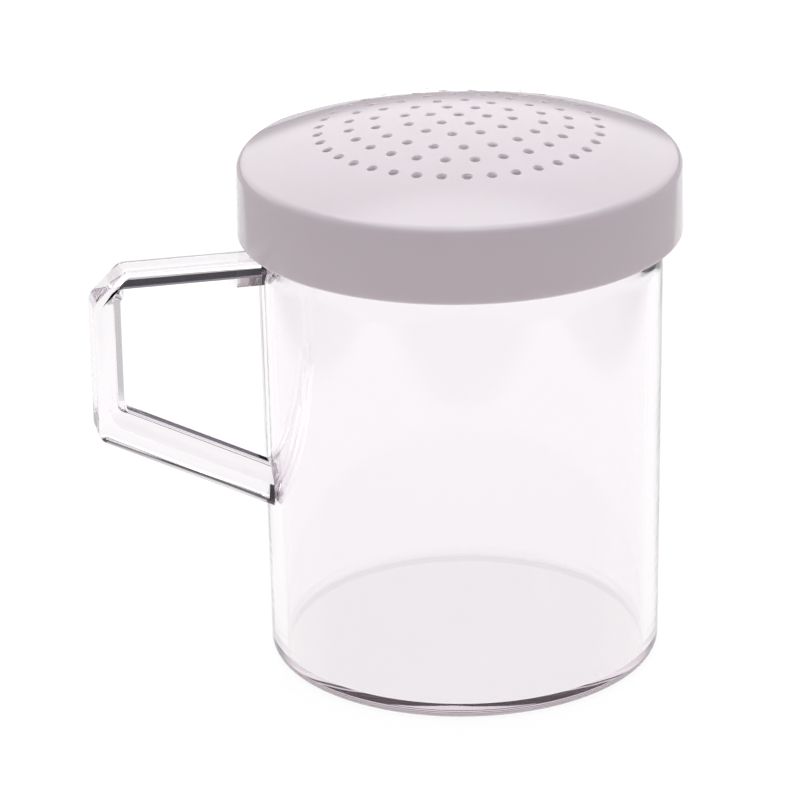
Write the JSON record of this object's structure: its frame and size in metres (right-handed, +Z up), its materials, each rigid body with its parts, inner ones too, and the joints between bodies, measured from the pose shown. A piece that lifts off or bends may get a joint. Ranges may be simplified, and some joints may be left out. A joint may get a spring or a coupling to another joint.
{
  "type": "spice shaker",
  "caption": "Clear round shaker cup with a straight-barred side grip and a domed grey press-on lid with rings of small holes.",
  "frame": {"origin": "centre of the cup's flat underside, on the surface it stands on", "axes": "+Z up along the cup's axis; the grip points along -X, and the object is symmetric across the XZ plane apart from the turn of the hole pattern"},
  "size_m": [0.104, 0.0774, 0.099],
  "materials": {
    "clear_polycarbonate": "moulded clear polycarbonate, polished, faint lilac cast",
    "grey_lid_plastic": "moulded opaque light grey plastic, glossy"
  },
  "bodies": {
    "cup": {"cup": "clear_polycarbonate", "grip": "clear_polycarbonate"},
    "lid": {"lid": "grey_lid_plastic"}
  },
  "joints": [
    {"name": "lid_lift", "type": "slide", "parent": "cup", "child": "lid", "axis": [0, 0, 1], "range_m": [0, 0.03]}
  ]
}
